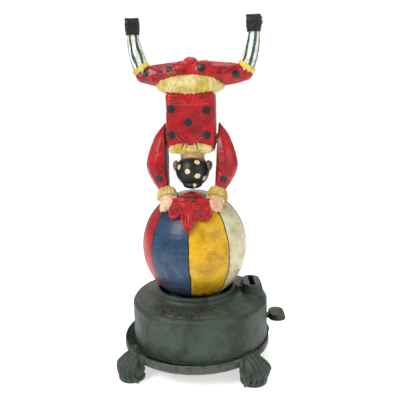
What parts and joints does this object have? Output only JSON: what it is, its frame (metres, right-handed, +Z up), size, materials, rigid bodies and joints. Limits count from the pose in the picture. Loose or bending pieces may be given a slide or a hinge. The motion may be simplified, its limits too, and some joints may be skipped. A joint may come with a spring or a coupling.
{
  "type": "mechanical bank",
  "caption": "Cast iron mechanical bank: an acrobat clown does a handstand on a striped globe that turns in a footed round coin box with a slot and a thumb lever.",
  "frame": {"origin": "on the spindle's axis, in the plane of the foot soles", "axes": "+Z up along the spindle, -Y towards the side that the clown's back faces in the handstand, +X towards the lever and coin slot"},
  "size_m": [0.1399, 0.124, 0.2835],
  "materials": {
    "cast_iron_green": "dark green bronzing worn to brown iron",
    "bare_steel": "dull",
    "spring_steel": "blued",
    "brass": "dull",
    "rusty_iron": "bare, lightly rusted",
    "globe_blue": "old enamel with chips",
    "globe_yellow": "old enamel with chips",
    "globe_red": "old enamel with chips",
    "globe_white": "old enamel with chips",
    "red_paint": "glossy enamel, worn",
    "screw_red": "worn enamel",
    "black_paint": "glossy enamel",
    "skin_paint": "enamel, worn",
    "ruffle_paint": "cream enamel with yellow"
  },
  "bodies": {
    "base": {"base_casting": "cast_iron_green", "drum_cover": "cast_iron_green", "cover_screws": "bare_steel", "spindle": "bare_steel", "thrust_washer": "brass", "mainspring": "spring_steel", "mainspring_post": "bare_steel", "lever_pin": "bare_steel", "lever_spring": "spring_steel"},
    "lever": {"lever": "cast_iron_green"},
    "trap": {"coin_trap": "rusty_iron", "trap_bar": "spring_steel", "trap_rivet": "bare_steel"},
    "globe": {"globe_front_half": "globe_blue", "globe_rear_half": "globe_yellow", "hub": "rusty_iron", "catch_wheel": "rusty_iron", "hub_screws": "bare_steel", "guide_rods": "bare_steel", "top_plate": "rusty_iron", "scroll_bracket": "red_paint", "bracket_screw": "screw_red", "rear_screw": "bare_steel", "left_arm": "red_paint", "right_arm": "red_paint", "shoulder_pin": "bare_steel", "shoulder_washers": "black_paint", "latch_pin": "bare_steel", "latch_spring": "spring_steel", "flip_spring": "spring_steel"},
    "figure": {"torso_back_half": "red_paint", "torso_front_half": "red_paint", "head": "skin_paint", "body_rivets": "bare_steel"},
    "latch": {"seat_latch": "bare_steel"},
    "trip": {"trip_nut": "brass"}
  },
  "joints": [
    {"name": "globe_spin", "type": "hinge", "parent": "base", "child": "globe", "pos_m": [0, 0, 0.0275], "axis": [0, 0, 1], "range_deg": [-540, 0], "stiffness_Nm_per_rad": 0.02},
    {"name": "figure_flip", "type": "hinge", "parent": "globe", "child": "figure", "pos_m": [0, 0, 0.19], "axis": [-1, 0, 0], "range_deg": [0, 142], "stiffness_Nm_per_rad": 0.15, "springref_deg": -68.75},
    {"name": "lever_press", "type": "hinge", "parent": "base", "child": "lever", "pos_m": [0.03961, 0.00557, 0.0349], "axis": [-0.1392, 0.9903, 0], "range_deg": [0, 11], "stiffness_Nm_per_rad": 0.05, "springref_deg": -14.32, "deforming": ["lever_spring"]},
    {"name": "coin_trap_turn", "type": "hinge", "parent": "base", "child": "trap", "pos_m": [-0.03, 0, 0.0185], "axis": [0, 0, 1], "range_deg": [0, 90]},
    {"name": "seat_latch_swing", "type": "hinge", "parent": "globe", "child": "latch", "pos_m": [0, 0.02, 0.124], "axis": [-1, 0, 0], "range_deg": [0, 12], "stiffness_Nm_per_rad": 0.01, "springref_deg": -5.73},
    {"name": "trip_nut_slide", "type": "slide", "parent": "globe", "child": "trip", "axis": [0, 0, 1], "range_m": [-0.003, 0]}
  ],
  "couplings": [
    {"joint": "trip_nut_slide", "follows": "globe_spin", "m_per_rad": 0.00031831}
  ]
}
